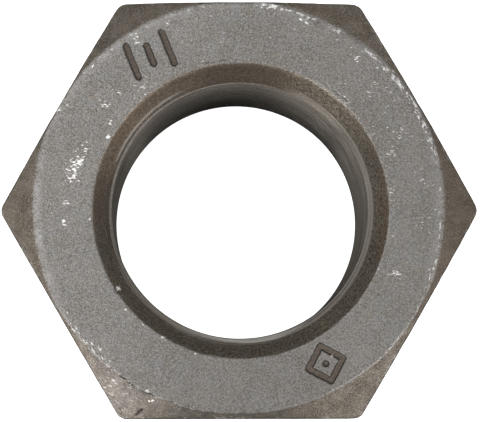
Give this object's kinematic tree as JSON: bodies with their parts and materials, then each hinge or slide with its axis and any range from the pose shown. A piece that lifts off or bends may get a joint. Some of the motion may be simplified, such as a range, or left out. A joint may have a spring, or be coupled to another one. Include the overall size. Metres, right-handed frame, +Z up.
{
  "type": "hex nut",
  "caption": "Heavy steel hex nut with a right-hand fine internal thread, countersunk and chamfered on both faces.",
  "frame": {"origin": "middle of the lower bearing face, on the bore's axis", "axes": "+Z up the bore, +X towards a corner of the hexagon, +Y towards a wrench flat"},
  "size_m": [0.0796, 0.0694, 0.0437],
  "materials": {
    "steel": "dark grey heat-treated forged steel, dull, with bright worn edges and a brown-black oxide in the recesses"
  },
  "bodies": {
    "root": {"hex_nut": "steel"}
  },
  "joints": []
}
